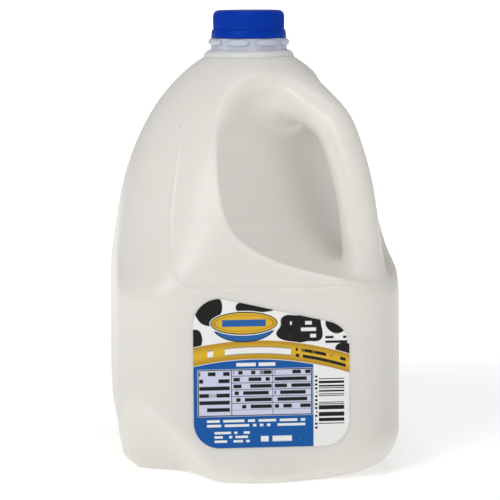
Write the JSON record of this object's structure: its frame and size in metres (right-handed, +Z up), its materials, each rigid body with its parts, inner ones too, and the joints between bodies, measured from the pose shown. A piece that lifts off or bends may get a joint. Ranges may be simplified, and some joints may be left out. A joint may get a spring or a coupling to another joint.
{
  "type": "plastic milk jug",
  "caption": "Square blown milk jug with a domed top, a hollow handle in one corner, a ribbed screw cap and a printed film label, filled with milk.",
  "frame": {"origin": "on the bottle's upright axis, at the floor it stands on", "axes": "+Z up through the cap, -Y out of the face that carries the label, the handle in the corner between +X and -Y"},
  "size_m": [0.156, 0.1562, 0.2535],
  "materials": {
    "bottle_plastic": "milky natural polyethylene, softly glossy with a fine pebbled grain",
    "milk": "opaque white liquid",
    "cap_plastic": "satin moulded blue plastic",
    "label_film": "smooth printed film in blue, white, black and gold fields"
  },
  "bodies": {
    "root": {"bottle": "bottle_plastic", "milk": "milk", "cap": "cap_plastic", "label": "label_film"}
  },
  "joints": []
}
